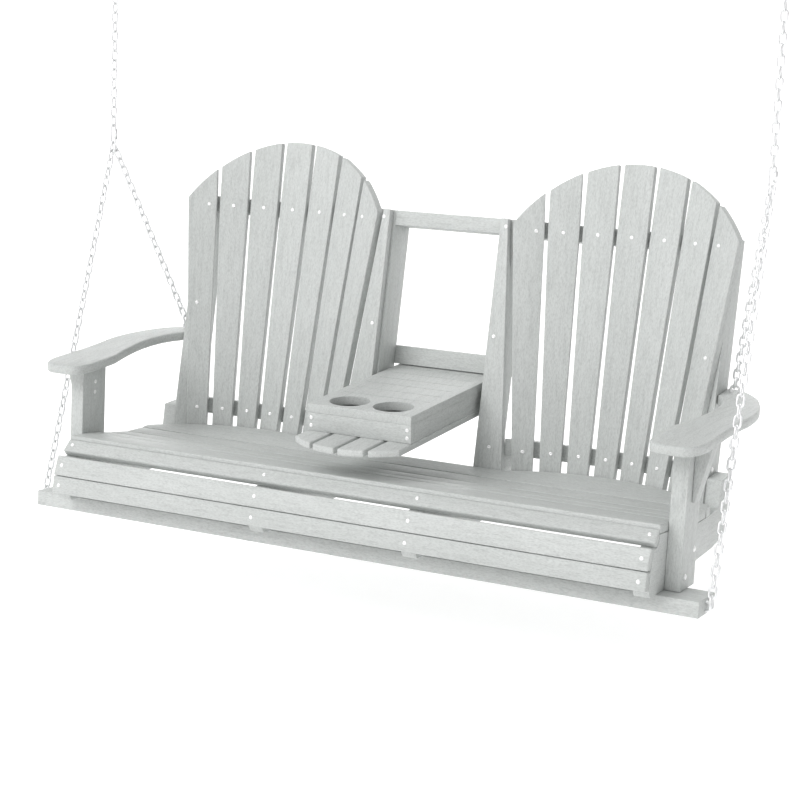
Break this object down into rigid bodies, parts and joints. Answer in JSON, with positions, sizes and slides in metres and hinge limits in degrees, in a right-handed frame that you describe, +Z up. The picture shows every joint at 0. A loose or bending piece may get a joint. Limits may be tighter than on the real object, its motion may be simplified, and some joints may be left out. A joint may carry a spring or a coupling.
{
  "type": "porch swing",
  "caption": "Hanging two-seat porch swing with fanned slat backs, wide arms, chain hangers and a middle console with cup holes that folds up into a backrest.",
  "frame": {"origin": "midway between the two ceiling hooks, on the line along which the chains bear in them", "axes": "+X towards the sitter's left along the seat, +Y rearward, +Z up"},
  "size_m": [1.586, 0.5935, 1.2759],
  "materials": {
    "grey_board": "embossed grain, satin",
    "steel": "bright"
  },
  "bodies": {
    "ceiling": {"ceiling_hook_left": "steel", "ceiling_hook_right": "steel"},
    "upper_chains": {"upper_chain_left": "steel", "upper_chain_right": "steel"},
    "seat": {"front_beam": "grey_board", "seat_support_outer_left": "grey_board", "seat_support_outer_right": "grey_board", "seat_support_inner_left": "grey_board", "seat_support_inner_right": "grey_board", "front_slat_lower": "grey_board", "front_slat_upper": "grey_board", "seat_nose_slat": "grey_board", "seat_slat_1": "grey_board", "seat_slat_2": "grey_board", "seat_slat_3": "grey_board", "seat_slat_4": "grey_board", "seat_slat_rear": "grey_board", "back_slat_1_left": "grey_board", "back_slat_2_left": "grey_board", "back_slat_3_left": "grey_board", "back_slat_4_left": "grey_board", "back_slat_5_left": "grey_board", "back_slat_6_left": "grey_board", "back_slat_7_left": "grey_board", "back_slat_1_right": "grey_board", "back_slat_2_right": "grey_board", "back_slat_3_right": "grey_board", "back_slat_4_right": "grey_board", "back_slat_5_right": "grey_board", "back_slat_6_right": "grey_board", "back_slat_7_right": "grey_board", "back_crossbar_lower_left": "grey_board", "back_crossbar_lower_right": "grey_board", "back_crossbar_upper_left": "grey_board", "back_crossbar_upper_right": "grey_board", "back_upright_outer_left": "grey_board", "back_upright_outer_right": "grey_board", "arm_left": "grey_board", "arm_right": "grey_board", "arm_post_left": "grey_board", "arm_post_right": "grey_board", "arm_gusset_left": "grey_board", "arm_gusset_right": "grey_board", "console_upright_left": "grey_board", "console_upright_right": "grey_board", "console_top_rail": "grey_board", "console_lower_rail": "grey_board", "console_frame_slat_left": "grey_board", "console_frame_slat_right": "grey_board", "console_pivot_rod": "steel", "lower_chain_left": "steel", "lower_chain_right": "steel"},
    "console": {"console_top": "grey_board", "console_front": "grey_board", "console_side_left": "grey_board", "console_side_right": "grey_board", "console_under_slat_1": "grey_board", "console_under_slat_2": "grey_board", "console_under_slat_3": "grey_board", "console_under_slat_4": "grey_board"}
  },
  "joints": [
    {"name": "swing", "type": "hinge", "parent": "ceiling", "child": "upper_chains", "pos_m": [0, 0, 0], "axis": [1, 0, 0], "range_deg": [-30, 30]},
    {"name": "seat_tilt", "type": "hinge", "parent": "upper_chains", "child": "seat", "pos_m": [0, 0, -0.41], "axis": [1, 0, 0], "range_deg": [-15, 15]},
    {"name": "console_fold", "type": "hinge", "parent": "seat", "child": "console", "pos_m": [0, 0.14148, -0.9286], "axis": [-1, 0, 0], "range_deg": [0, 103.2]}
  ]
}
